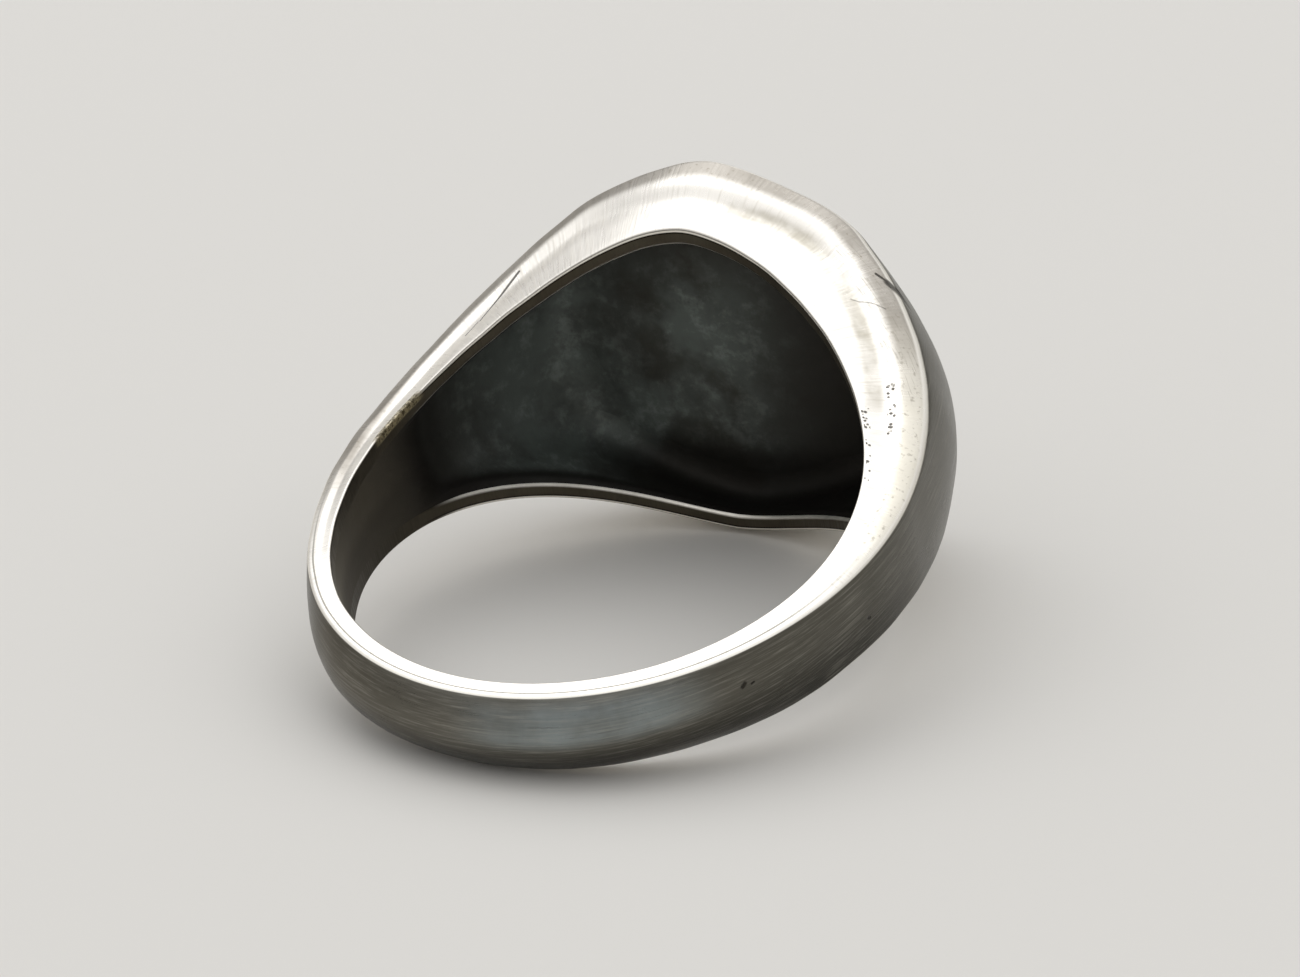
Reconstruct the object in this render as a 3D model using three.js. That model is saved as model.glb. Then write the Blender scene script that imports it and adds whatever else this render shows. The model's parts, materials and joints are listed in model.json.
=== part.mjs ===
// A man's signet ring in sterling silver, open at the back of the head, lying on its side.
//
// It is put together as a bench jeweller would: a shank, two domed shoulders, an upper and a lower
// side wall, a thin rim round each edge of the open back, and a flat oval table on top.
// Everything is drawn by cross-sections that turn about the finger.
//
// Millimetres. Each piece is drawn with the finger along Z and the head towards +Y, and the whole
// ring is then turned and laid down so that +Z is up and the face looks towards -Y.

import * as THREE from "three";
import { mergeVertices } from "three/addons/utils/BufferGeometryUtils.js";

// ---- Driving sizes -------------------------------------------------------------------------

const BORE_RADIUS = 9.9; // finger hole, a man's ring 19.8 mm across inside
const FACE_RISE = 3.3; // from the bore to the flat of the face
const FACE_HALF_WIDTH = 8.4; // half the face, along the finger
const HEAD_HALF_WIDTH = 7.2; // half the open back of the head, along the finger, at the bore
const BACK_HALF_WIDTH = 1.7; // half the shank at its narrowest, at the bore
const BACK_EDGE_HALF_WIDTH = 1.62; // the same at its outer edge, just inside the bore's
const SHOULDER_RISE = 4.9; // edge above the bore where the shoulders' lines would meet over the head
const BACK_EDGE_RISE = 0.64; // edge above the bore at the back of the shank
const TABLE_THICKNESS = 1.1; // the flat plate that carries the face
const SKIN = 1.1; // thickness of a shoulder, measured out from the finger
const WALL = 0.85; // thickness of a side wall, along the finger
const RIM = 0.35; // height of the rim that edges the open back
const SEAM = 0.05; // solder seam between two pieces
const RIDGE_DROP = 0.75; // how far below the outer edge the side is proudest
const RIDGE_HEIGHT = 0.13; // how far the ridge stands out of the side
const VALLEY_DEPTH = 0.07; // how far the seam below the ridge lies in

const HOLLOW_END = 60; // degrees from the head: the walls butt on the shoulder's solid foot here
const POCKET_END = 80; // the hollow has run out into the bore here
const SHANK_SEAM = 75; // the shoulders are soldered to the shank here

// How far each size carries round the band from the middle of the head, in degrees, before little
// is left of it, and how full the shoulders are: 1 is straight-sided and 2 is round.
const BORE_WIDTH_REACH = 55;
const EDGE_WIDTH_REACH = 42;
const EDGE_RISE_REACH = 66;
const FULLNESS = 1.7;

const HEAD_CROWN = 1.6; // how far the outside is domed above its edges, over the head
const SHANK_CROWN = 0.1; // where the shoulders run into the shank, nearly flat
const BACK_CROWN = 0.95; // and at the back
const CROWN_FALLS = [25, 80]; // degrees from the head over which the dome flattens
const CROWN_RETURNS = [100, 165]; // and over which it comes back

// ---- Shape of a cross-section --------------------------------------------------------------

const radians = THREE.MathUtils.degToRad;
const mix = THREE.MathUtils.lerp;

// The share of a size at the head that is left at an angle from it.
const shareLeft = (degrees, reach) => Math.exp(-((Math.abs(degrees) / reach) ** FULLNESS));

const boreHalfWidth = (degrees) =>
  mix(BACK_HALF_WIDTH, HEAD_HALF_WIDTH, shareLeft(degrees, BORE_WIDTH_REACH));
const edgeHalfWidth = (degrees) =>
  mix(BACK_EDGE_HALF_WIDTH, FACE_HALF_WIDTH, shareLeft(degrees, EDGE_WIDTH_REACH));

const seamAngle = THREE.MathUtils.radToDeg(SEAM / BORE_RADIUS);
const FACE_LEVEL = BORE_RADIUS + FACE_RISE;
const TABLE_LEVEL = FACE_LEVEL - TABLE_THICKNESS;

// How far the middle of the outside is domed above its edges.
function crownRise(degrees) {
  const angle = Math.abs(degrees);
  const front = mix(HEAD_CROWN, SHANK_CROWN, THREE.MathUtils.smoothstep(angle, ...CROWN_FALLS));
  return mix(front, BACK_CROWN, THREE.MathUtils.smoothstep(angle, ...CROWN_RETURNS));
}

// Radius of the domed outside, before the face is cut flat; across is -1 to 1 between the edges.
function domeRadius(degrees, across) {
  const rise = mix(BACK_EDGE_RISE, SHOULDER_RISE, shareLeft(degrees, EDGE_RISE_REACH));
  return BORE_RADIUS + rise + crownRise(degrees) * (1 - Math.min(1, across * across));
}

// Radius of a level plane across the head.
const planeRadius = (degrees, level) =>
  Math.abs(degrees) < 85 ? level / Math.cos(radians(degrees)) : Infinity;

const outerRadius = (degrees, across) =>
  Math.min(domeRadius(degrees, across), planeRadius(degrees, FACE_LEVEL));

// How much of the side's relief is left: all of it on the head, less as the shank gets thin.
const relief = (degrees) => Math.min(1, (outerRadius(degrees, 1) - BORE_RADIUS) / (2 * SKIN));
const valleyRadius = (degrees) => outerRadius(degrees, 1) - SKIN * relief(degrees);

// Half width of the ring at a radius: a flat strip by the bore, a shallow valley, a soft ridge, and
// a facet that falls away to the outer edge.
function sideHalfWidth(degrees, radius) {
  const edge = outerRadius(degrees, 1);
  const bore = boreHalfWidth(degrees);
  const rim = edgeHalfWidth(degrees);
  const straight = (r) => mix(bore, rim, (r - BORE_RADIUS) / (edge - BORE_RADIUS));
  const valley = valleyRadius(degrees);
  const ridge = edge - RIDGE_DROP * relief(degrees);
  const profile = [
    [BORE_RADIUS, bore],
    [valley, straight(valley) - VALLEY_DEPTH * relief(degrees)],
    [ridge, straight(ridge) + RIDGE_HEIGHT * relief(degrees)],
    [edge, rim],
  ];
  const r = THREE.MathUtils.clamp(radius, BORE_RADIUS, edge);
  const k = Math.max(1, profile.findIndex((p) => r <= p[0] + 1e-9));
  const [r0, z0] = profile[k - 1];
  const [r1, z1] = profile[k];
  return mix(z0, z1, (r - r0) / (r1 - r0));
}

// The degrees at which something that falls away from the head reaches a level above the finger.
function degreesAtLevel(radiusAt, level) {
  let low = 0;
  let high = HOLLOW_END;
  for (let i = 0; i < 40; i += 1) {
    const middle = (low + high) / 2;
    if (radiusAt(middle) * Math.cos(radians(middle)) > level) low = middle;
    else high = middle;
  }
  return low;
}

// ---- Making solids -------------------------------------------------------------------------

// A point at an angle from the head, a radius from the finger's axis and a place along the finger.
function at(degrees, radius, z) {
  const a = radians(degrees);
  return new THREE.Vector3(radius * Math.sin(a), radius * Math.cos(a), z);
}

// Even steps from one value to another, both ends included.
const steps = (from, to, count) =>
  Array.from({ length: count + 1 }, (_, i) => mix(from, to, i / count));

const ACROSS = steps(1, -1, 10);

// Skins a row of closed outlines, all with as many points, and closes both ends if they have any area.
function loft(outlines, closeEnds = true) {
  const width = outlines[0].length;
  const points = outlines.flat();
  const faces = [];
  const face = (...corner) => {
    const [a, b, c] = corner.map((i) => points[i]);
    const apart = Math.min(a.distanceTo(b), b.distanceTo(c), c.distanceTo(a));
    if (apart > 1e-6) faces.push(...corner);
  };
  for (let row = 0; row + 1 < outlines.length; row += 1) {
    for (let i = 0; i < width; i += 1) {
      const a = row * width + i;
      const b = row * width + ((i + 1) % width);
      face(a, b, b + width);
      face(a, b + width, a + width);
    }
  }
  if (closeEnds) {
    closeEnd(outlines[0]).forEach(([a, b, c]) => face(c, b, a));
    const last = points.length - width;
    closeEnd(outlines.at(-1)).forEach(([a, b, c]) => face(last + a, last + b, last + c));
  }
  const made = new THREE.BufferGeometry().setFromPoints(points);
  made.setIndex(faces);
  return outward(mergeVertices(made, 1e-5));
}

// Triangles that fill a flat outline, in the outline's own sense of turning.
function closeEnd(outline) {
  const normal = new THREE.Vector3();
  outline.forEach((p, i) => normal.add(p.clone().cross(outline[(i + 1) % outline.length])));
  const u = outline[1].clone().sub(outline[0]).normalize();
  const v = normal.normalize().clone().cross(u);
  const flat = outline.map((p) => new THREE.Vector2(p.dot(u), p.dot(v)));
  return THREE.ShapeUtils.triangulateShape(flat, []);
}

// Turns every face of a closed mesh round if its volume comes out negative.
function outward(geometry) {
  const place = geometry.getAttribute("position");
  const index = geometry.index.array;
  const corner = (i) => new THREE.Vector3().fromBufferAttribute(place, index[i]);
  let volume = 0;
  for (let i = 0; i < index.length; i += 3) {
    volume += corner(i).dot(corner(i + 1).cross(corner(i + 2)));
  }
  if (volume < 0) geometry.setIndex([...index].reverse());
  geometry.computeVertexNormals();
  return geometry;
}

const mirrored = (outline) => outline.map((p) => new THREE.Vector3(p.x, p.y, -p.z));
const otherHand = (outline) => outline.map((p) => new THREE.Vector3(-p.x, p.y, p.z));

const silver = (name) =>
  new THREE.MeshStandardMaterial({ name, color: 0xd9d5ca, roughness: 0.3, metalness: 1 });

function piece(name, geometry, finish = silver("satin sterling silver")) {
  const mesh = new THREE.Mesh(geometry, finish);
  mesh.name = name;
  return mesh;
}

// ---- The pieces ----------------------------------------------------------------------------

// The domed outside and both side facets of one cross-section, from the upper seam line round to
// the lower one. The outer edge and the seam line may stand at different angles.
function skinOutline(outerAngles, innerAngle, innerRadius) {
  const outer = ACROSS.map((t, i) =>
    at(outerAngles[i], outerRadius(outerAngles[i], t), t * edgeHalfWidth(outerAngles[i])));
  const inner = at(innerAngle, innerRadius, sideHalfWidth(innerAngle, innerRadius));
  const ridge = outer[0].clone().lerp(inner, RIDGE_DROP / SKIN);
  const ridgeAngle = THREE.MathUtils.radToDeg(Math.atan2(ridge.x, ridge.y));
  ridge.z = sideHalfWidth(ridgeAngle, Math.hypot(ridge.x, ridge.y));
  return [inner, ridge, ...outer, ...mirrored([ridge, inner])];
}

// The underside of a shoulder is domed like its outside, from one seam line to the other.
const seamHalfWidth = (degrees) => sideHalfWidth(degrees, domeRadius(degrees, 1) - SKIN);
const underSkin = (degrees, z) => domeRadius(degrees, z / seamHalfWidth(degrees)) - SKIN;

// Half widths across that underside: three on the wall that it rests on, then the hollow's.
function underWidths(degrees) {
  const hollow = seamHalfWidth(degrees) - WALL;
  return [...steps(seamHalfWidth(degrees), hollow, 3).slice(1), hollow * 0.6, hollow * 0.2];
}

// One outline of the thin shoulder; share is 0 at the table and 1 where the walls end.
function shoulderOutline(share) {
  const top = TABLE_LEVEL - SEAM;
  const outerAngles = ACROSS.map((t) =>
    mix(degreesAtLevel((d) => domeRadius(d, t), top), HOLLOW_END, share));
  const innerAngle = mix(
    degreesAtLevel((d) => domeRadius(d, 1) - SKIN, top), HOLLOW_END, share);
  const under = underWidths(HOLLOW_END).map((_, k) => {
    const start = degreesAtLevel((d) => underSkin(d, underWidths(d)[k]), top);
    const angle = mix(start, HOLLOW_END, share);
    const z = underWidths(angle)[k];
    return at(angle, underSkin(angle, z), z);
  });
  const skin = skinOutline(outerAngles, innerAngle, domeRadius(innerAngle, 1) - SKIN);
  return [...skin, ...mirrored(under), ...under.toReversed()];
}

// One outline of the solid band, with the end of the hollow scooped out of it near the head.
function bandOutline(degrees) {
  const run = THREE.MathUtils.smoothstep(Math.abs(degrees), HOLLOW_END, POCKET_END);
  const lip = boreHalfWidth(degrees) - WALL;
  const pocket = mix(seamHalfWidth(degrees) - WALL, lip, run);
  const floor = (z) => Math.max(BORE_RADIUS, mix(underSkin(degrees, z), BORE_RADIUS, run));
  const under = [
    at(degrees, BORE_RADIUS, boreHalfWidth(degrees)),
    at(degrees, BORE_RADIUS, lip),
    ...[1, 0.6, 0.2].map((t) => at(degrees, floor(pocket * t), pocket * t)),
  ];
  const skin = skinOutline(ACROSS.map(() => degrees), degrees, valleyRadius(degrees));
  return [...skin, ...mirrored(under), ...under.toReversed()];
}

// A shoulder: thin and domed beside the hollow, then a solid foot that butts on the shank.
function shoulder(name, hand) {
  const outlines = [
    ...steps(0, 1, 12).map(shoulderOutline),
    ...steps(HOLLOW_END, SHANK_SEAM, 6).map(bandOutline),
  ];
  return piece(name, loft(outlines.map(hand)));
}

// The shank: the plain band from one solder seam round the back to the other.
function shank() {
  const start = SHANK_SEAM + seamAngle;
  const turned = (degrees) => (degrees > 180 ? degrees - 360 : degrees);
  return piece("shank", loft(steps(start, 360 - start, 56).map(turned).map(bandOutline)));
}

// The angles of the outlines between the two shoulders' feet, clear of them by one seam.
const archAngles = steps(seamAngle - HOLLOW_END, HOLLOW_END - seamAngle, 60);

// A side wall stands on its rim and holds up the table and the edge of each shoulder.
function wallOutline(degrees) {
  const foot = BORE_RADIUS + RIM + SEAM;
  const top = (z) => Math.min(
    planeRadius(degrees, TABLE_LEVEL - SEAM), underSkin(degrees, z) - SEAM);
  const crown = sideHalfWidth(degrees, top(seamHalfWidth(degrees)));
  const toe = sideHalfWidth(degrees, foot);
  const ridge = steps(crown, crown - WALL, 3).map((z) => at(degrees, top(z), z));
  return [at(degrees, foot, toe - WALL), at(degrees, foot, toe), ...ridge];
}

function rimOutline(degrees) {
  const top = BORE_RADIUS + RIM;
  const low = boreHalfWidth(degrees);
  const high = sideHalfWidth(degrees, top);
  return [
    at(degrees, BORE_RADIUS, low),
    at(degrees, top, high),
    at(degrees, top, high - WALL),
    at(degrees, BORE_RADIUS, low - WALL),
  ];
}

function sidePieces(side, hand) {
  return [
    piece(`${side}_side_wall`, loft(archAngles.map(wallOutline).map(hand))),
    piece(`${side}_bore_rim`, loft(archAngles.map(rimOutline).map(hand))),
  ];
}

// The table: its flat underside and its domed ends come to one line where the shoulders begin, and
// the face is cut flat across its top. Share is -1 to 1 from one end to the other.
function tableOutline(share) {
  const ends = ACROSS.map((t) => degreesAtLevel((d) => domeRadius(d, t), TABLE_LEVEL));
  const faceEnds = ACROSS.map((t) => degreesAtLevel((d) => domeRadius(d, t), FACE_LEVEL));
  const reach = Math.abs(share);
  const flat = 0.75; // the share at which the flat of the face ends
  const top = ACROSS.map((t, i) => {
    const angle = reach < flat
      ? faceEnds[i] * (reach / flat)
      : mix(faceEnds[i], ends[i], (reach - flat) / (1 - flat));
    return at(Math.sign(share) * angle, outerRadius(angle, t), t * edgeHalfWidth(angle));
  });
  const under = ACROSS.map((t, i) => {
    const x = Math.tan(radians(ends[i])) * TABLE_LEVEL * share;
    const angle = THREE.MathUtils.radToDeg(Math.atan2(Math.abs(x), TABLE_LEVEL));
    const z = sideHalfWidth(angle, planeRadius(angle, TABLE_LEVEL));
    return new THREE.Vector3(x, TABLE_LEVEL, t * z);
  });
  const ridge = top[0].clone().lerp(under[0], RIDGE_DROP / TABLE_THICKNESS);
  const ridgeAngle = THREE.MathUtils.radToDeg(Math.atan2(Math.abs(ridge.x), ridge.y));
  ridge.z = sideHalfWidth(ridgeAngle, Math.hypot(ridge.x, ridge.y));
  return [ridge, ...top, ...mirrored([ridge]), ...under.toReversed()];
}

const signetTable = () =>
  piece("signet_table", loft(steps(-1, 1, 32).map(tableOutline), false));

// ---- Laying the ring down ------------------------------------------------------------------

// The lean at which the ring lies on the lower edge of its head and of its shank together.
function restingLean(meshes) {
  const places = meshes.flatMap((mesh) => {
    const place = mesh.geometry.getAttribute("position");
    return Array.from({ length: place.count }, (_, i) => [place.getY(i), place.getZ(i)]);
  });
  let low = 0;
  let high = Math.PI / 4;
  for (let i = 0; i < 40; i += 1) {
    const lean = (low + high) / 2;
    const height = ([y, z]) => z * Math.cos(lean) + y * Math.sin(lean);
    const lowest = places.reduce((best, p) => (height(p) < height(best) ? p : best));
    if (lowest[0] > 0) low = lean;
    else high = lean;
  }
  return low;
}

const asDrawn = (outline) => outline;
const pieces = [
  shank(),
  shoulder("right_shoulder", otherHand),
  shoulder("left_shoulder", asDrawn),
  ...sidePieces("upper", asDrawn),
  ...sidePieces("lower", mirrored),
  signetTable(),
];

const leaning = new THREE.Group();
leaning.rotation.x = restingLean(pieces);
leaning.add(...pieces);

const ring = new THREE.Group();
ring.rotation.z = Math.PI;
ring.add(leaning);

// The origin is under the middle of the ring, on the surface that it lies on.
const box = new THREE.Box3().setFromObject(ring, true);
const middle = box.getCenter(new THREE.Vector3());
ring.position.set(-middle.x, -middle.y, -box.min.z);

export default ring;
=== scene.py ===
"""The looks of a sterling silver signet ring, lying on its side with its head open at the back.

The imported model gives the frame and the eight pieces. Each piece is drawn again here with the soft
edges that filing and wear leave, to the same sizes and in the same place. The ring's own numbers
are in millimetres and degrees about the finger; everything is turned to metres as it is made.
"""

import json
import math
from types import SimpleNamespace

import bmesh
import bpy
import numpy as np
from mathutils import Matrix, Vector


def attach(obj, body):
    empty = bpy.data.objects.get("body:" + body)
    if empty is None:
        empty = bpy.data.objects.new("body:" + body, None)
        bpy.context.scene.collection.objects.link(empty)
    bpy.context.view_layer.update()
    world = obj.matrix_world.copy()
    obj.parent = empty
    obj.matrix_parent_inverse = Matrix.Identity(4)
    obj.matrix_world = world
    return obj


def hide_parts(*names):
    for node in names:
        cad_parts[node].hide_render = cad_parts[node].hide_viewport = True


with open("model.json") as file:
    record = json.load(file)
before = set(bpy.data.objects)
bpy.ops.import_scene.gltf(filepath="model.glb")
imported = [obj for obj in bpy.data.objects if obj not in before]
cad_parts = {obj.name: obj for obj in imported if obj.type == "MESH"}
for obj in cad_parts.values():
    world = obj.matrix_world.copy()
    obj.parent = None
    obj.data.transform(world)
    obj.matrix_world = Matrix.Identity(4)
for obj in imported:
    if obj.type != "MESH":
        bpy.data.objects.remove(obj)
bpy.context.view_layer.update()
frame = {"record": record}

# ---- Driving sizes, in mm --------------------------------------------------------------------

BORE_RADIUS = 9.9  # finger hole
FACE_RISE = 3.3  # from the bore to the flat of the face
FACE_HALF_WIDTH = 8.4  # half the face, along the finger
HEAD_HALF_WIDTH = 7.2  # half the open back of the head, at the bore
BACK_HALF_WIDTH = 1.7  # half the shank at its narrowest, at the bore
BACK_EDGE_HALF_WIDTH = 1.62  # the same at its outer edge
SHOULDER_RISE = 4.9  # edge above the bore where the shoulders' lines would meet over the head
BACK_EDGE_RISE = 0.64  # edge above the bore at the back of the shank
TABLE_THICKNESS = 1.1
SKIN = 1.1  # thickness of a shoulder
WALL = 0.85  # thickness of a side wall
RIM = 0.35  # height of the rim that edges the open back
RIDGE_DROP = 0.8  # how far below the outer edge the side is proudest, by the shank
HEAD_RIDGE_DROP = 1.3  # and over the head
RIDGE_HEIGHT = 0.13
VALLEY_FALL = 0.6  # from the ridge to the valley, where the side lies in
VALLEY_DEPTH = 0.06

HOLLOW_END = 60  # degrees from the middle of the head
POCKET_END = 80
SHANK_SEAM = 75

# How far each size carries round the band from the middle of the head, in degrees, before little
# is left of it, and how full the shoulders are: 1 is straight-sided and 2 is round.
BORE_WIDTH_REACH = 55
EDGE_WIDTH_REACH = 42
EDGE_RISE_REACH = 66
FULLNESS = 1.7

HEAD_CROWN = 1.6  # how far the outside is domed above its edges, over the head
SHANK_CROWN = 0.1  # where the shoulders run into the shank, nearly flat
BACK_CROWN = 0.95  # and at the back
CROWN_FALLS = (25, 80)  # degrees from the head over which the dome flattens
CROWN_RETURNS = (100, 165)  # and over which it comes back

LIP = 0.7  # width of the bore's lip beside the hollow, where a scraper has cleaned its edge
BORE_EDGE = 0.12  # rounding that wear leaves on the bore's edge
OUTER_EDGE = 0.3  # the same on the outer edge
LIP_EDGE = 0.13  # bevel that the scraper left on the edge of the hollow
FACE_EDGE = 0.7  # the same on the edge of the flat face
HOLLOW_FILLET = 1.5  # the hollow's corners, as cast
CEILING_BLEND = 1.0  # and where the hollow's ceiling turns down towards the shoulders

# Places along the curves of a cross-section, where one stretch gives way to the next.
EDGE_FROM, EDGE_TO = 1.8, 2.2  # outside: the outer edge is rounded between them
BEVEL_TO, ROUND_FROM = 0.2, 0.8  # bore: the lip's bevel ends, and the edge's rounding begins
FILLET_FROM = 0.4  # hollow: the wall turns into the ceiling

FACE_LEVEL = BORE_RADIUS + FACE_RISE
TABLE_LEVEL = FACE_LEVEL - TABLE_THICKNESS
MM = 0.001
DEGREE_MM = 0.2  # a degree of the band laid flat
SOFT = {"interpolation_type": "SMOOTHSTEP"}  # for anything that fades from one value to another


# ---- Where the ring lies ---------------------------------------------------------------------

mount = next(m for m in frame["record"]["mounts"] if m["name"] == "signet_face")
head = Vector(mount["axis"]).normalized()
across = Vector((-1, 0, 0))
finger = across.cross(head)
centre = Vector(mount["pos_m"]) - head * FACE_LEVEL * MM
LAID = np.array([across, head, finger])


# ---- The ring's cross-sections ---------------------------------------------------------------


def mix(a, b, share):
    return a + (b - a) * share


def smooth(low, high, value):
    """0 before low and 1 after high, either way round, and level at both."""
    u = np.clip((value - low) / (high - low), 0, 1)
    return u * u * (3 - 2 * u)


def soft_least(a, b, width):
    """The lesser of two, rounded off where they are less than a width apart."""
    near = np.maximum(width - np.abs(a - b), 0)
    return np.minimum(a, b) - near * near / (4 * width)


def from_head(degrees):
    """Degrees from the middle of the head, the shorter way round."""
    return np.abs((degrees + 180) % 360 - 180)


def share_left(degrees, reach):
    """The share of a size at the head that is left at an angle from it."""
    return np.exp(-((from_head(degrees) / reach) ** FULLNESS))


def bore_half_width(degrees):
    return mix(BACK_HALF_WIDTH, HEAD_HALF_WIDTH, share_left(degrees, BORE_WIDTH_REACH))


def edge_half_width(degrees):
    return mix(BACK_EDGE_HALF_WIDTH, FACE_HALF_WIDTH, share_left(degrees, EDGE_WIDTH_REACH))


def crown_rise(degrees):
    """How far the middle of the outside is domed above its edges."""
    angle = from_head(degrees)
    front = mix(HEAD_CROWN, SHANK_CROWN, smooth(*CROWN_FALLS, angle))
    return mix(front, BACK_CROWN, smooth(*CROWN_RETURNS, angle))


def dome_radius(degrees, t):
    """Radius of the domed outside before the face is cut; t is -1 to 1 from edge to edge."""
    rise = mix(BACK_EDGE_RISE, SHOULDER_RISE, share_left(degrees, EDGE_RISE_REACH))
    crown = crown_rise(degrees)
    return BORE_RADIUS + rise + crown * (1 - np.clip(t * t, 0, 1))


def plane_radius(degrees, level):
    return level / np.cos(np.radians(np.minimum(from_head(degrees), 75)))


def outer_radius(degrees, t):
    flat = plane_radius(degrees, FACE_LEVEL)
    return soft_least(dome_radius(degrees, t), flat, FACE_EDGE)


def relief(degrees):
    """How much of the side's drop is left: all of it on the head, less as the shank gets thin."""
    return np.minimum(1, (outer_radius(degrees, 1) - BORE_RADIUS) / (2 * SKIN))


def valley_radius(degrees):
    return outer_radius(degrees, 1) - SKIN * relief(degrees)


def side_half_width(degrees, radius):
    """Half width at a radius: a strip by the bore, a shallow valley, a soft ridge, then a facet."""
    edge = outer_radius(degrees, 1)
    share = (radius - BORE_RADIUS) / (edge - BORE_RADIUS)
    straight = mix(bore_half_width(degrees), edge_half_width(degrees), share)
    drop = (edge - radius) / relief(degrees)
    ridge = mix(HEAD_RIDGE_DROP, RIDGE_DROP, smooth(15, 70, from_head(degrees)))
    valley = ridge + VALLEY_FALL
    facet = RIDGE_HEIGHT * np.sin(np.pi / 2 * np.clip(drop / ridge, 0, 1))
    strip = -VALLEY_DEPTH * smooth(valley + 0.9, valley, drop)
    stand = mix(facet, strip, smooth(ridge, valley, drop))
    # The ridge and the valley die out where the shoulder becomes the plain shank.
    return straight + stand * relief(degrees) * smooth(130, 95, from_head(degrees))


def bend_round(a, corner, b, w):
    """A point on the curve that leaves a for a corner and arrives at b."""
    return tuple(
        (1 - w) ** 2 * p + 2 * w * (1 - w) * c + w * w * q for p, c, q in zip(a, corner, b)
    )


def outside(degrees, u):
    """(radius, half width) on the outside: u runs 0 bore edge, 1 valley, 2 outer edge, 3 crown."""
    edge = outer_radius(degrees, 1)
    width = edge_half_width(degrees)
    soft = OUTER_EDGE * relief(degrees)
    start = edge - soft
    turn = 1 - soft / width
    if u <= 1:
        low = BORE_RADIUS + BORE_EDGE
        radius = mix(low, valley_radius(degrees), u)
        return radius, side_half_width(degrees, radius)
    if u <= EDGE_FROM:
        radius = mix(valley_radius(degrees), start, (u - 1) / (EDGE_FROM - 1))
        return radius, side_half_width(degrees, radius)
    if u <= EDGE_TO:
        return bend_round(
            (start, side_half_width(degrees, start)),
            (edge, width),
            (outer_radius(degrees, turn), turn * width),
            (u - EDGE_FROM) / (EDGE_TO - EDGE_FROM),
        )
    t = mix(turn, 0, (u - EDGE_TO) / (3 - EDGE_TO))
    return outer_radius(degrees, t), t * width


def lip_half_width(degrees):
    return bore_half_width(degrees) - LIP


def wall_half_width(degrees, radius):
    """Half width of the hollow between its walls, with the scraped edge beside the lip."""
    scraped = (WALL - LIP) * smooth(BORE_RADIUS + 0.45, BORE_RADIUS, radius)
    return side_half_width(degrees, radius) - WALL + scraped


def run_out(degrees):
    """How far the hollow has run out into the bore, past the ends of the walls."""
    return smooth(HOLLOW_END, POCKET_END, from_head(degrees))


def bore_strip(degrees, u):
    """(radius, half width) on the bore: u runs 0 at the hollow's edge to 1 at the outside."""
    wide, lip = bore_half_width(degrees), lip_half_width(degrees)
    flat = BORE_RADIUS + 0 * wide
    if u < BEVEL_TO:
        bevel = LIP_EDGE * (1 - run_out(degrees))
        corner = (flat + 0.3 * bevel, lip + 0.3 * bevel)
        return bend_round((flat + bevel, lip), corner, (flat, lip + LIP_EDGE), u / BEVEL_TO)
    if u <= ROUND_FROM:
        share = (u - BEVEL_TO) / (ROUND_FROM - BEVEL_TO)
        return flat, mix(lip + LIP_EDGE, wide - BORE_EDGE, share)
    high = BORE_RADIUS + BORE_EDGE
    end = (high, side_half_width(degrees, high))
    share = (u - ROUND_FROM) / (1 - ROUND_FROM)
    return bend_round((flat, wide - BORE_EDGE), (flat, wide), end, share)


def seam_half_width(degrees):
    return side_half_width(degrees, dome_radius(degrees, 1) - SKIN)


def ceiling(degrees, z):
    """Radius of the hollow's ceiling: the flat under the table, then the shoulder's underside."""
    under = dome_radius(degrees, z / seam_half_width(degrees)) - SKIN
    return soft_least(plane_radius(degrees, TABLE_LEVEL), under, CEILING_BLEND)


def hollow(degrees, u):
    """(radius, half width) in the hollow: u runs 0 at its edge, 1 at the ceiling, 2 mid-way."""
    reach = np.minimum(from_head(degrees), POCKET_END)
    low = BORE_RADIUS + LIP_EDGE
    top = ceiling(reach, lip_half_width(reach))
    for _ in range(6):
        corner = wall_half_width(reach, top)
        top = ceiling(reach, corner)
    fillet = np.minimum(HOLLOW_FILLET, 0.8 * (top - low))
    end = corner - fillet
    if u <= FILLET_FROM:
        radius = mix(low, top - fillet, u / FILLET_FROM)
        z = wall_half_width(reach, radius)
    elif u <= 1:
        start = (top - fillet, wall_half_width(reach, top - fillet))
        share = (u - FILLET_FROM) / (1 - FILLET_FROM)
        radius, z = bend_round(start, (top, corner), (ceiling(reach, end), end), share)
    else:
        z = end * (2 - u)
        radius = ceiling(reach, z)
    run = run_out(degrees)
    flat = lip_half_width(degrees) * z / wall_half_width(reach, low)
    return mix(radius, BORE_RADIUS, run), mix(z, flat, run)


# ---- Solids ----------------------------------------------------------------------------------


def place(degrees, radius, z):
    """Points of the ring about its own centre, in mm."""
    angle = np.radians(degrees)
    parts = np.broadcast_arrays(radius * np.sin(angle), radius * np.cos(angle), z)
    return np.stack(parts, axis=-1)


def level_angle(curve, level):
    """The angle at which a line that falls away from the head reaches a level."""
    low, high = 8.0, float(HOLLOW_END)
    for _ in range(40):
        middle = (low + high) / 2
        if float(curve(middle)) * math.cos(math.radians(middle)) > level:
            low = middle
        else:
            high = middle
    return low


def waves(points, length, seed):
    """A slow unevenness, about -1 to 1, made of six plane waves of about one length."""
    chance = np.random.default_rng(seed)
    total = np.zeros(len(points))
    for _ in range(6):
        way = chance.normal(size=3)
        way *= 2 * np.pi / (length * chance.uniform(0.7, 1.4) * np.linalg.norm(way))
        total += np.sin(points @ way + chance.uniform(0, 2 * np.pi))
    return total / 3


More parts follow.
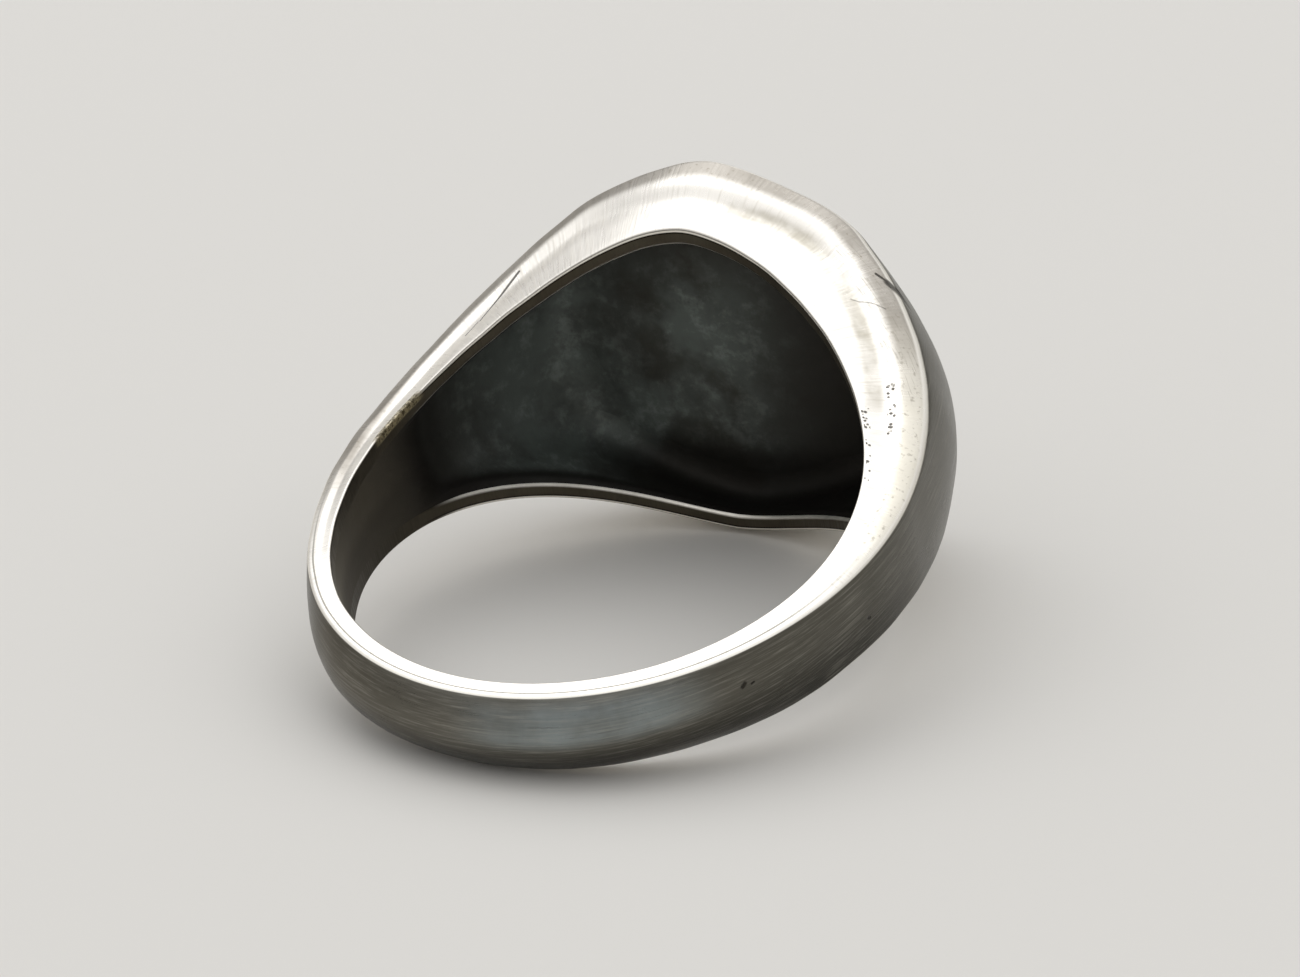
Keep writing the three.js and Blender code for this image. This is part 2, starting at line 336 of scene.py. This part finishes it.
def worn(points):
    """Hand filing leaves the outline uneven: slow waves 9 mm long and short ones of 2 mm."""
    long, short = waves(points, 9, 3), waves(points, 2, 5)
    out = points.copy()
    flat = np.hypot(points[:, 0], points[:, 1])
    out[:, :2] *= (1 + (0.025 * long + 0.006 * short) / flat)[:, None]
    out[:, 2] += (0.03 * long + 0.007 * short) * np.clip(points[:, 2] / 1.5, -1, 1)
    return out


def run_of(degrees, curve, steps, side=1):
    """Columns of points along a curve of the section, each with its place across the band."""
    for u in steps:
        radius, z = curve(degrees, u)
        across = {bore_strip: u - 1, outside: u, hollow: -1 - u}[curve]
        yield place(degrees, radius, side * z), across


def lofted(columns):
    """Points, faces and places across the band of a closed skin with both its ends filled."""
    rows = np.stack([points for points, _ in columns], axis=1)
    count, width, _ = rows.shape
    index = np.arange(count * width).reshape(count, width)
    next_one = np.roll(index, -1, axis=1)
    faces = np.stack([index[:-1], next_one[:-1], next_one[1:], index[1:]], axis=-1)
    faces = faces.reshape(-1, 4).tolist() + [index[0][::-1].tolist(), index[-1].tolist()]
    return rows.reshape(-1, 3), faces, np.tile([across for _, across in columns], count)


def ring_piece(name, solids, hand=(1, 1, 1)):
    """A piece laid in its place. For its finish it keeps where each point lies: "band" is degrees
    round the band, height above the bore and place along the finger; "across" is the place along
    the section; "drop" is the depth below the outer edge."""
    points = np.concatenate([solid[0] for solid in solids]) * hand
    across = np.concatenate([solid[2] for solid in solids])
    faces, before = [], 0
    for solid in solids:
        faces += [[i + before for i in face] for face in solid[1]]
        before += len(solid[0])
    points = worn(points)
    mesh = bpy.data.meshes.new(name)
    mesh.from_pydata((points @ LAID * MM + np.array(centre)).tolist(), [], faces)
    for finish in (SATIN, BLACKENED):
        mesh.materials.append(finish)
    inside = [any(across[i] < -1 for i in face) for face in faces]
    if name == "signet_table":
        inside[-1] = True
    mesh.polygons.foreach_set("material_index", inside)
    angle = np.degrees(np.arctan2(points[:, 0], points[:, 1]))
    if name == "shank":
        angle = angle % 360
    height = np.hypot(points[:, 0], points[:, 1]) - BORE_RADIUS
    lie = np.stack([angle, height, points[:, 2]], axis=-1)
    mesh.attributes.new("band", "FLOAT_VECTOR", "POINT").data.foreach_set("vector", lie.ravel())
    mesh.attributes.new("across", "FLOAT", "POINT").data.foreach_set("value", across)
    drop = outer_radius(angle, 1) - BORE_RADIUS - height
    mesh.attributes.new("drop", "FLOAT", "POINT").data.foreach_set("value", drop)
    work = bmesh.new()
    work.from_mesh(mesh)
    bmesh.ops.remove_doubles(work, verts=work.verts, dist=1e-7)
    bmesh.ops.recalc_face_normals(work, faces=work.faces)
    work.to_mesh(mesh)
    work.free()
    mesh.shade_smooth()
    mesh.set_sharp_from_angle(angle=math.radians(40))
    piece = bpy.data.objects.new(name + "_worn", mesh)
    bpy.context.scene.collection.objects.link(piece)
    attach(piece, "root")
    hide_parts(name)


def stepped(*stops):
    """Steps from stop to stop; each (stop, count) says how many steps lead up to it."""
    parts = [[stops[0]]]
    for stop, count in stops[1:]:
        parts.append(np.linspace(parts[-1][-1], stop, count + 1)[1:])
    return np.concatenate(parts)


OUT_STEPS = stepped(0, (1, 14), (EDGE_FROM, 14), (EDGE_TO, 7), (3, 20))
SKIN_STEPS = OUT_STEPS[OUT_STEPS >= 1 - 1e-9]
STRIP_STEPS = OUT_STEPS[OUT_STEPS <= 1 + 1e-9]
BORE_STEPS = stepped(0, (BEVEL_TO, 5), (ROUND_FROM, 4), (1, 6))
HOLLOW_STEPS = stepped(0, (FILLET_FROM, 4), (1, 10), (2, 14))


def band(degrees):
    """Whole cross-sections of the solid band, once round."""
    return lofted([
        *run_of(degrees, bore_strip, BORE_STEPS[:-1]),
        *run_of(degrees, outside, OUT_STEPS),
        *run_of(degrees, outside, OUT_STEPS[-2::-1], -1),
        *run_of(degrees, bore_strip, BORE_STEPS[-2::-1], -1),
        *run_of(degrees, hollow, HOLLOW_STEPS[1:], -1),
        *run_of(degrees, hollow, HOLLOW_STEPS[-2:0:-1]),
    ])


def skin(reach):
    """Columns over the dome from the upper valley to the lower; reach gives each one's degrees."""
    columns = []
    for u, side in [(u, 1) for u in SKIN_STEPS] + [(u, -1) for u in SKIN_STEPS[-2::-1]]:
        degrees = reach(level_angle(lambda d: outside(d, u)[0], TABLE_LEVEL))
        columns += run_of(degrees, outside, [u], side)
    return columns


def shank():
    ring_piece("shank", [band(np.linspace(SHANK_SEAM, 360 - SHANK_SEAM, 260))])


def shoulder(name, side):
    """Thin and domed beside the hollow, then a solid foot that butts on the shank."""
    share = np.linspace(0, 1, 60)
    columns = skin(lambda start: mix(start, HOLLOW_END, share))
    for t in np.linspace(-1, 1, 40)[1:-1]:
        start = level_angle(lambda d: dome_radius(d, t) - SKIN - CEILING_BLEND, TABLE_LEVEL)
        degrees = mix(start, HOLLOW_END, share)
        z = t * seam_half_width(degrees)
        columns.append((place(degrees, ceiling(degrees, z), z), -3))
    foot = band(np.linspace(HOLLOW_END, SHANK_SEAM, 24))
    ring_piece(name, [lofted(columns), foot], (side, 1, 1))


ARCH = np.linspace(-HOLLOW_END, HOLLOW_END, 200)
RIM_TOP = BORE_RADIUS + RIM


def side_wall(name, side):
    """Stands on its rim, holds up the table and shoulders, and turns softly into the ceiling."""
    outer = side_half_width(ARCH, RIM_TOP)
    columns = [(place(ARCH, RIM_TOP, outer), 0.1)]
    for points, across in run_of(ARCH, outside, STRIP_STEPS[STRIP_STEPS > 0.25]):
        columns.append((points, across))
    seam, soffit = seam_half_width(ARCH), hollow(ARCH, 1)[1]
    for share in (0.25, 0.5, 0.75):
        z = mix(seam, soffit, share)
        columns.append((place(ARCH, ceiling(ARCH, z), z), -2))
    columns += run_of(ARCH, hollow, HOLLOW_STEPS[HOLLOW_STEPS <= 1 + 1e-9][:1:-1])
    columns.append((place(ARCH, RIM_TOP, wall_half_width(ARCH, RIM_TOP)), -1.5))
    ring_piece(name, [lofted(columns)], (1, 1, side))


def bore_rim(name, side):
    columns = [*run_of(ARCH, bore_strip, BORE_STEPS)]
    for radius in np.linspace(BORE_RADIUS + BORE_EDGE, RIM_TOP, 4)[1:]:
        columns.append((place(ARCH, radius, side_half_width(ARCH, radius)), 0.1))
    for radius in (RIM_TOP, mix(BORE_RADIUS, RIM_TOP, 0.5)):
        columns.append((place(ARCH, radius, wall_half_width(ARCH, radius)), -1.5))
    ring_piece(name, [lofted(columns)], (1, 1, side))


def table():
    """The oval plate that carries the face; its domed ends run down to the shoulders."""
    share = np.sin(np.linspace(-np.pi / 2, np.pi / 2, 140))
    columns = skin(lambda end: end * share)
    rows = np.stack([points for points, _ in columns], axis=1)
    count, width, _ = rows.shape
    index = np.arange(count * width).reshape(count, width)
    faces = np.stack([index[:-1, :-1], index[:-1, 1:], index[1:, 1:], index[1:, :-1]], axis=-1)
    rim = [*index[0], *index[1:, -1], *index[-1, -2::-1], *index[-2:0:-1, 0]]
    faces = faces.reshape(-1, 4).tolist() + [[int(i) for i in rim[::-1]]]
    across = np.tile([across for _, across in columns], count)
    ring_piece("signet_table", [(rows.reshape(-1, 3), faces, across)])


# ---- Finishes --------------------------------------------------------------------------------


def linear(colour):
    """An sRGB hex colour as the linear values that a shader takes."""
    parts = [int(colour[i : i + 2], 16) / 255 for i in (1, 3, 5)]
    return [p / 12.92 if p <= 0.04045 else ((p + 0.055) / 1.055) ** 2.4 for p in parts] + [1]


def add(tree, kind, links=(), out=0, **settings):
    """Adds a node with its settings, links or sets its sockets, and hands back an output."""
    node = tree.nodes.new("ShaderNode" + kind)
    for name, value in settings.items():
        setattr(node, name, value)
    for socket, source in links.items() if isinstance(links, dict) else enumerate(links):
        if isinstance(source, bpy.types.NodeSocket):
            tree.links.new(source, node.inputs[socket])
        else:
            node.inputs[socket].default_value = source
    return node.outputs[out] if node.outputs else None


def new_finish(name, metallic=1.0):
    finish = bpy.data.materials.new(name)
    finish.use_nodes = True
    tree = finish.node_tree
    tree.nodes.clear()
    shader = add(tree, "BsdfPrincipled", {"Metallic": metallic})
    add(tree, "OutputMaterial", (shader,))
    return finish, tree, shader.node


def lie_of(tree):
    """Where each point of a surface lies on the ring."""
    band = add(tree, "Attribute", out="Vector", attribute_name="band")
    turn, height, along = add(tree, "SeparateXYZ", (band,)).node.outputs
    angle = add(tree, "Math", (turn, 180, -180), operation="WRAP")
    return SimpleNamespace(
        band=band,
        turn=turn,
        angle=angle,
        from_head=add(tree, "Math", (angle,), operation="ABSOLUTE"),
        height=height,
        along=along,
        across=add(tree, "Attribute", out="Fac", attribute_name="across"),
        drop=add(tree, "Attribute", out="Fac", attribute_name="drop"),
        solid=add(tree, "TexCoord", out="Object"),
    )


def between(tree, value, low, high, soft):
    """1 from low to high, fading to 0 over a soft margin on both sides."""
    rise = add(tree, "MapRange", (value, low - soft, low), **SOFT)
    fall = add(tree, "MapRange", (value, high + soft, high), **SOFT)
    return add(tree, "Math", (rise, fall), operation="MULTIPLY")


def overlap(tree, first, *others):
    """The share that is left where several parts cover each other."""
    for part in others:
        first = add(tree, "Math", (first, part), operation="MULTIPLY")
    return first


def together(tree, first, *others):
    """Several marks as one."""
    for mark in others:
        first = add(tree, "Math", (first, mark), operation="MAXIMUM")
    return first


def coated(tree, colour, *coats):
    """A colour under thin coats, from the first to the last; each is (how much shows, colour)."""
    for amount, coat in coats:
        colour = add(tree, "Mix", {0: amount, 6: colour, 7: coat}, 2, data_type="RGBA")
    return colour


def patch(tree, lie, degrees, across, soft=1.0):
    """1 on a part of the upper side, between two angles and two places across the band."""
    return overlap(
        tree,
        between(tree, lie.angle, *degrees, 3 * soft),
        between(tree, lie.across, *across, 0.12 * soft),
        add(tree, "MapRange", (lie.along, -0.3, 0.3), **SOFT),
    )


def scratch(tree, lie, start, end, width, level):
    """A scratch on the upper side. Its ends are (degrees, mm), where the mm are those of a level:
    the height above the bore on the side, or the place along the finger on the outside."""
    spot = add(tree, "CombineXYZ", (overlap(tree, lie.angle, DEGREE_MM), level))
    a = Vector((start[0] * DEGREE_MM, start[1], 0))
    line = Vector((end[0] * DEGREE_MM, end[1], 0)) - a
    off = add(tree, "VectorMath", (spot, a), operation="SUBTRACT")
    share = add(
        tree, "VectorMath", (off, line / line.length_squared), "Value", operation="DOT_PRODUCT"
    )
    share = add(tree, "MapRange", (share, 0, 1))
    foot = add(tree, "VectorMath", {0: line, "Scale": share}, operation="SCALE")
    gap = add(tree, "VectorMath", (off, foot), "Value", operation="DISTANCE")
    shore = add(tree, "MapRange", (lie.along, -1.2, -0.9))
    return overlap(tree, add(tree, "MapRange", (gap, width, 0.3 * width), **SOFT), shore)


def sides(tree, lie, clouds, specks, file_marks):
    """Bright where the file has cut. Painted shade greys the valley and turns the facet, which the
    file has missed, a darker brownish grey, with a painted lighter tone on its right-hand part; fine
    sand marks lie in the facet."""
    on_head = add(tree, "MapRange", (lie.from_head, 110, 85), **SOFT)
    # Painted shade: the valley between the ridge and the strip is greyed, as if it caught less
    # light.
    valley = overlap(
        tree,
        between(tree, lie.drop, 1.75, 2.05, 0.3),
        between(tree, lie.angle, 11, 55, 8),
    )
    facet = add(tree, "MapRange", (lie.drop, 1.15, 0.7), **SOFT)
    cloudy = add(tree, "MapRange", (clouds, 0.36, 0.62, 0.1, 0.85), **SOFT)
    toned = overlap(tree, facet, on_head)
    uneven = add(tree, "MapRange", (clouds, 0.3, 0.6, 0.75, 1))
    sandy = add(tree, "MapRange", (specks, 0.6, 0.74, 0, 0.6))
    # Painted shade: the facet is turned a darker brownish grey, with a painted lighter tone on its
    # right-hand part, from 36 to 66 degrees.
    painted_facet_shade = coated(
        tree,
        linear("#A49E95"),
        (add(tree, "MapRange", (lie.angle, 36, 66), **SOFT), linear("#ECE7DA")),
    )
    # The shank's edge is turned down a little, and a dark line is painted along the side beside it.
    dark_line_by_edge = overlap(
        tree,
        between(tree, lie.across, 1.5, 1.6, 0.06),
        add(tree, "MapRange", (lie.from_head, 95, 120, 0, 0.75)),
    )
    # Where the ridge has been rubbed by hand its marks slant across it, 0.1 mm apart.
    spot = add(tree, "CombineXYZ", (overlap(tree, lie.angle, DEGREE_MM), lie.height))
    slant = add(tree, "Mapping", {"Vector": spot, "Rotation": (0, 0, 0.95), "Scale": (1.2, 14, 1)})
    slanted = add(tree, "TexNoise", {"Vector": slant, "Scale": 1.0, "Detail": 3})
    rubbed = overlap(
        tree,
        add(tree, "MapRange", (slanted, 0.55, 0.66), **SOFT),
        patch(tree, lie, (28, 56), (0.9, 1.8), 1.5),
        0.35,
    )
    return coated(
        tree,
        linear("#FFFBF4"),
        (add(tree, "MapRange", (file_marks, 0.5, 0.8, 0, 0.35), **SOFT), linear("#C9C4B8")),
        # painted shade in the valley
        (overlap(tree, valley, on_head, cloudy), linear("#BFB9AA")),
        (overlap(tree, toned, uneven), painted_facet_shade),
        (overlap(tree, toned, sandy), linear("#8F887A")),
        (dark_line_by_edge, linear("#6F6B60")),
        (rubbed, linear("#8D8779")),
    )


def face_share(tree, lie):
    """1 on the flat face and 0 on the dome about it."""
    level = add(tree, "Math", (lie.angle, math.pi / 180), operation="MULTIPLY")
    level = add(tree, "Math", (level,), operation="COSINE")
    radius = add(tree, "Math", (lie.height, BORE_RADIUS), operation="ADD")
    height = overlap(tree, level, radius)
    return add(tree, "MapRange", (height, FACE_LEVEL - 0.25, FACE_LEVEL - 0.05))


def outsides(tree, lie, clouds, brush_marks, on_face):
    """Brushed round the band, with a brown-grey patina left between the brush marks. The dark grey
    is partly patina and partly a painted dark reflection; a painted blue-grey highlight lies near
    the upper edge at the back, a painted dark reflection darkens the lower part away from the head,
    and the flat of the face is paler."""
    # Painted dark reflection: the lower part of the outside, away from the head, is darkened.
    low = add(tree, "MapRange", (lie.along, 0.6, -1.4), **SOFT)
    off_head = add(tree, "MapRange", (lie.from_head, 60, 110), **SOFT)
    # Painted highlight: a blue-grey sheen near the upper edge at the back of the shank.
    rubbed = overlap(
        tree,
        between(tree, lie.turn, 148, 168, 16),
        between(tree, lie.along, 0.5, 1.1, 0.6),
        0.9,
    )
    shown = add(tree, "MapRange", (on_face, 0, 1, 0.34, 0.12))
    bright = overlap(tree, add(tree, "MapRange", (brush_marks, 0.46, 0.72), **SOFT), shown)
    dark = overlap(tree, add(tree, "MapRange", (brush_marks, 0.44, 0.3), **SOFT), shown)
    return coated(
        tree,
        # Dark grey base: partly patina, partly a painted dark reflection of the surroundings.
        linear("#6A6861"),
        (add(tree, "MapRange", (lie.turn, 170, 235), **SOFT), linear("#5B554A")),
        (between(tree, lie.from_head, 50, 125, 20), linear("#595750")),
        (rubbed, linear("#8D9596")),
        (add(tree, "MapRange", (clouds, 0.36, 0.66, 0, 0.45), **SOFT), linear("#5D5A52")),
        (overlap(tree, low, off_head), linear("#312F29")),
        (overlap(tree, on_face, 0.75), linear("#B3B1AB")),
        (bright, linear("#B2AFA5")),
        (dark, linear("#4A4841")),
    )


def bore_film_and_shade(tree, lie, clouds):
    """Brown-black beside the hollow, partly film and partly a painted dark reflection, rubbed back
    to grey silver at the back of the finger; painted shade darkens the far side by the hollow.
    """
    back = add(tree, "MapRange", (lie.from_head, 90, 165), **SOFT)
    # Painted shade: darker on the far side of the bore, beside the hollow.
    far = add(tree, "MapRange", (lie.along, 0.5, -0.5, 0, 0.6), **SOFT)
    return coated(
        tree,
        linear("#4E483D"),
        (back, linear("#8E887B")),
        (add(tree, "MapRange", (clouds, 0.35, 0.75, 0, 0.5)), linear("#6F6A5D")),
        (overlap(tree, far, add(tree, "MapRange", (lie.from_head, 60, 90))), linear("#38332A")),
    )


def casting_pits(tree, lie):
    """Small holes in a row along the bore's edge and in another along the valley."""
    spot = add(tree, "CombineXYZ", (overlap(tree, lie.angle, DEGREE_MM), lie.height))
    cell = add(tree, "TexVoronoi", {"Vector": spot, "Scale": 6.0}).node
    hole = add(tree, "MapRange", (cell.outputs["Distance"], 0.45, 0.25), **SOFT)
    chance = add(tree, "SeparateColor", (cell.outputs["Color"],))
    rows = together(
        tree,
        patch(tree, lie, (60, 78), (0.02, 0.17), 0.4),
        patch(tree, lie, (55, 66), (0.78, 0.96), 0.4),
    )
    return overlap(tree, hole, add(tree, "MapRange", (chance, 0.3, 0.35)), rows)


def satin_silver():
    """Sterling silver, cast, then filed on its sides and rubbed to a satin round its outside; the
    edges are worn bright, so they draw the ring's outline."""
    finish, tree, shader = new_finish("sterling_silver_filed_and_satin_brushed")
    lie = lie_of(tree)
    on_face = face_share(tree, lie)
    # Patina gathers in clouds 3 mm across; the sand of the mould left marks of 0.2 mm.
    clouds = add(
        tree, "TexNoise", {"Vector": lie.solid, "Scale": 330, "Detail": 5, "Roughness": 0.6}
    )
    specks = add(tree, "TexNoise", {"Vector": lie.solid, "Scale": 5000})
    # File marks lie across the side and brush marks run round the band. Real ones are 0.03 to
    # 0.05 mm apart; they are drawn 0.1 mm apart so that they show.
    stretched = add(tree, "VectorMath", (lie.band, (2.1, 0.7, 0.3)), operation="MULTIPLY")
    file_marks = add(tree, "TexNoise", {"Vector": stretched, "Scale": 1, "Detail": 3})
    round_band = add(tree, "VectorMath", (lie.band, (0.08, 0, 13)), operation="MULTIPLY")
    over_face = add(tree, "VectorMath", (lie.solid, (130, 15000, 15000)), operation="MULTIPLY")
    stretched = add(
        tree, "Mix", {0: on_face, 4: round_band, 5: over_face}, 1, data_type="VECTOR"
    )
    brush_marks = add(
        tree, "TexNoise", {"Vector": stretched, "Scale": 1, "Detail": 4, "Roughness": 0.7}
    )

    on_side = add(tree, "MapRange", (lie.across, 2.1, 1.92), **SOFT)
    in_bore = add(tree, "MapRange", (lie.across, -0.03, -0.16), **SOFT)
    by_hollow = add(tree, "MapRange", (lie.from_head, 74, 62), **SOFT)
    edge_wear = together(
        tree,
        between(tree, lie.across, 1.95, 2.03, 0.08),
        overlap(tree, add(tree, "MapRange", (lie.across, -0.8, -0.9)), by_hollow),
        overlap(tree, between(tree, lie.across, -0.2, -0.16, 0.03), by_hollow),
    )
    scribed = overlap(
        tree, between(tree, lie.across, -0.29, -0.25, 0.03), between(tree, lie.angle, -72, 40, 8)
    )

    # Solder was left rough and yellowish where the right shoulder meets the shank.
    solder = patch(tree, lie, (-82, -70), (-0.4, 0.08))
    crumbs = add(
        tree, "TexNoise", {"Vector": lie.solid, "Scale": 7000, "Detail": 4, "Roughness": 0.8}
    )
    crumbs = overlap(tree, solder, add(tree, "MapRange", (crumbs, 0.45, 0.56)))
    scratches = together(
        tree,
        scratch(tree, lie, (-37.5, 2.25), (-48, 1.18), 0.07, lie.height),
        scratch(tree, lie, (-48.5, 1.2), (-52, 1.0), 0.06, lie.height),
        overlap(tree, scratch(tree, lie, (35.5, 1.8), (40, 2.68), 0.03, lie.height), 0.4),
        scratch(tree, lie, (33.5, 3.3), (37, 3.7), 0.07, lie.height),
        scratch(tree, lie, (35.3, 3.5), (38.5, 3.8), 0.2, lie.height),
    )
    scratches = overlap(tree, scratches, add(tree, "MapRange", (lie.across, 2.26, 2.18)))
    dents = together(
        tree,
        scratch(tree, lie, (129, 0.6), (129.6, 0.52), 0.1, lie.along),
        scratch(tree, lie, (127.4, 0.5), (127.8, 0.48), 0.06, lie.along),
        scratch(tree, lie, (99.5, -0.36), (100, -0.3), 0.08, lie.along),
    )
    dents = overlap(tree, dents, add(tree, "MapRange", (lie.across, 2.1, 2.2)))
    sunk = together(tree, casting_pits(tree, lie), scratches, dents)

    colour = coated(
        tree,
        outsides(tree, lie, clouds, brush_marks, on_face),
        (on_side, sides(tree, lie, clouds, specks, file_marks)),
        (in_bore, bore_film_and_shade(tree, lie, clouds)),
        (edge_wear, linear("#FFFBF2")),
        (overlap(tree, scribed, 0.85), linear("#1F1C18")),
        (overlap(tree, solder, 0.7), linear("#C2B48E")),
        (overlap(tree, crumbs, 0.85), linear("#453D2E")),
        (overlap(tree, sunk, 0.85), linear("#2B2823")),
    )
    tree.links.new(colour, shader.inputs["Base Color"])

    rubbed_flat = add(tree, "Mix", {0: on_face, 2: brush_marks, 3: 0.5})
    brushed = add(tree, "Mix", {0: 0.6, 2: brush_marks, 3: rubbed_flat})
    grain = add(tree, "Mix", {0: on_side, 2: brushed, 3: file_marks})
    dull = add(tree, "MapRange", (clouds, 0.36, 0.66, 0, 0.06))
    rough = add(tree, "MapRange", (grain, 0.3, 0.75, 0.24, 0.4), **SOFT)
    rough = add(tree, "Math", (rough, dull), operation="ADD")
    film = overlap(tree, together(tree, in_bore, crumbs), 0.15)
    tree.links.new(add(tree, "Math", (rough, film), operation="ADD"), shader.inputs["Roughness"])
    depth = overlap(tree, together(tree, sunk, crumbs), 4.0)
    height = add(tree, "Math", (grain, depth), operation="SUBTRACT")
    bump = add(tree, "Bump", {"Height": height, "Strength": 0.8, "Distance": 1.2e-5})
    tree.links.new(bump, shader.inputs["Normal"])
    return finish


def blackened_silver():
    """The same silver left as cast in the hollow and blackened with liver of sulphur: nearly black
    and matt, with blue-grey clouds where the film is thin and brown ones where it is thick."""
    finish, tree, shader = new_finish("sterling_silver_cast_and_blackened", 0.75)
    lie = lie_of(tree)
    large = add(
        tree, "TexNoise", {"Vector": lie.solid, "Scale": 190, "Detail": 6, "Roughness": 0.65}
    )
    small = add(
        tree, "TexNoise", {"Vector": lie.solid, "Scale": 900, "Detail": 5, "Roughness": 0.7}
    )
    brown = add(tree, "TexNoise", {"Vector": lie.solid, "Scale": 260, "Detail": 4})
    thin = overlap(
        tree,
        between(tree, lie.angle, -40, -8, 26),
        between(tree, lie.along, -4, 2, 4),
        add(tree, "MapRange", (large, 0.36, 0.62, 0.35, 1), **SOFT),
    )
    mottled = overlap(tree, thin, add(tree, "MapRange", (small, 0.48, 0.68), **SOFT))
    # Painted shade: the hollow is darkened further in its deep lower corner and near the bore,
    # hiding the reflection its fillet would show.
    corner = together(
        tree,
        add(tree, "MapRange", (lie.along, -3.8, -5.4, 0, 0.8), **SOFT),
        add(tree, "MapRange", (lie.height, 1.1, 0.5, 0, 0.9), **SOFT),
    )
    worn_back = add(tree, "MapRange", (lie.from_head, 66, 95), **SOFT)
    colour = coated(
        tree,
        linear("#3E3D39"),
        (overlap(tree, thin, 0.85), linear("#727A76")),
        (overlap(tree, mottled, 0.5), linear("#9BA39F")),
        (add(tree, "MapRange", (brown, 0.5, 0.64, 0, 0.6), **SOFT), linear("#332D24")),
        (add(tree, "MapRange", (lie.angle, 0, 32, 0, 0.85), **SOFT), linear("#26231F")),
        # painted shade in the hollow's deep corner
        (corner, linear("#1F1C19")),
        (worn_back, bore_film_and_shade(tree, lie, large)),
    )
    tree.links.new(colour, shader.inputs["Base Color"])
    shader.inputs["Roughness"].default_value = 0.6
    bump = add(tree, "Bump", {"Height": small, "Strength": 0.7, "Distance": 4e-5})
    tree.links.new(bump, shader.inputs["Normal"])
    return finish


def pale_floor():
    """Pale matt card: even, with no gloss."""
    finish, _, shader = new_finish("matt_pale_card", 0.0)
    shader.inputs["Base Color"].default_value = linear("#DCDAD6")
    shader.inputs["Roughness"].default_value = 0.9
    return finish


# ---- The set ---------------------------------------------------------------------------------


def floor():
    """A round sheet of card, flat under the ring and swept up all round its edge."""
    flat, sweep = 1.2, 0.5  # metres
    turn = np.linspace(0, 2 * np.pi, 96, endpoint=False)
    rows = [
        (reach * np.cos(turn), reach * np.sin(turn), rise + 0 * turn)
        for bend in np.linspace(0, np.pi / 2, 17)
        for reach, rise in [(flat + sweep * np.sin(bend), sweep * (1 - np.cos(bend)))]
    ]
    points = np.concatenate([np.stack(row, axis=-1) for row in rows])
    index = np.arange(len(points)).reshape(len(rows), len(turn))
    after = np.roll(index, -1, axis=1)
    wall = np.stack([index[:-1], index[1:], after[1:], after[:-1]], axis=-1).reshape(-1, 4)
    mesh = bpy.data.meshes.new("floor")
    mesh.from_pydata(points.tolist(), [], [index[0].tolist(), *wall.tolist()])
    mesh.shade_smooth()
    mesh.polygons[0].use_smooth = False  # the flat itself
    mesh.materials.append(pale_floor())
    sheet = bpy.data.objects.new("floor", mesh)
    bpy.context.scene.collection.objects.link(sheet)


def facing(azimuth, elevation, roll=0):
    """Axes of something that looks at the ring: right, up and back, as the columns of a matrix."""
    a, e, r = map(math.radians, (azimuth, elevation, roll))
    back = Vector((math.sin(a) * math.cos(e), -math.cos(a) * math.cos(e), math.sin(e)))
    level = Vector((math.cos(a), math.sin(a), 0))
    right = level * math.cos(r) + back.cross(level) * math.sin(r)
    return Matrix((right, back.cross(right), back)).transposed()


def camera():
    """From above and behind the shank, the upper side of the head towards the lens."""
    axes = facing(azimuth=207.5, elevation=21.3, roll=-3.6)
    right, up, back = axes.transposed()
    lens = bpy.data.cameras.new("camera")
    lens.lens, lens.clip_start = 70.1, 0.005
    eye = bpy.data.objects.new("camera", lens)
    distance = 9.4 * BORE_RADIUS
    aside, above = 1.63, 1.83
    eye.location = centre + (back * distance + right * aside + up * above) * MM
    eye.rotation_euler = axes.to_euler()
    bpy.context.scene.collection.objects.link(eye)
    bpy.context.scene.camera = eye


def lamp(name, azimuth, elevation, distance, size, watts):
    """A round soft light that faces the ring; its distance and size are in metres."""
    light = bpy.data.lights.new(name, "AREA")
    light.shape, light.size, light.energy = "DISK", size, watts
    unit = bpy.data.objects.new(name, light)
    axes = facing(azimuth, elevation)
    unit.location = centre + axes.transposed()[2] * distance
    unit.rotation_euler = axes.to_euler()
    bpy.context.scene.collection.objects.link(unit)


def studio():
    """One large soft light above the head, in a room white overhead and grey at eye level."""
    lamp("overhead_softbox", azimuth=40, elevation=66, distance=1.2, size=1.5, watts=3.4)
    world = bpy.data.worlds.new("studio")
    world.use_nodes = True
    tree = world.node_tree
    level = add(tree, "SeparateXYZ", (add(tree, "TexCoord", out="Generated"),), "Z")
    rise = add(tree, "MapRange", (level, 0.1, 0.75), **SOFT)
    room = coated(tree, linear("#9C9B99"), (rise, linear("#F8F8F8")))
    tree.links.new(room, tree.nodes["Background"].inputs["Color"])
    bpy.context.scene.world = world


SATIN = satin_silver()
BLACKENED = blackened_silver()
shank()
shoulder("left_shoulder", 1)
shoulder("right_shoulder", -1)
for which, way in (("upper", 1), ("lower", -1)):
    side_wall(which + "_side_wall", way)
    bore_rim(which + "_bore_rim", way)
table()

floor()
camera()
studio()
bpy.context.scene.view_settings.view_transform = "Standard"
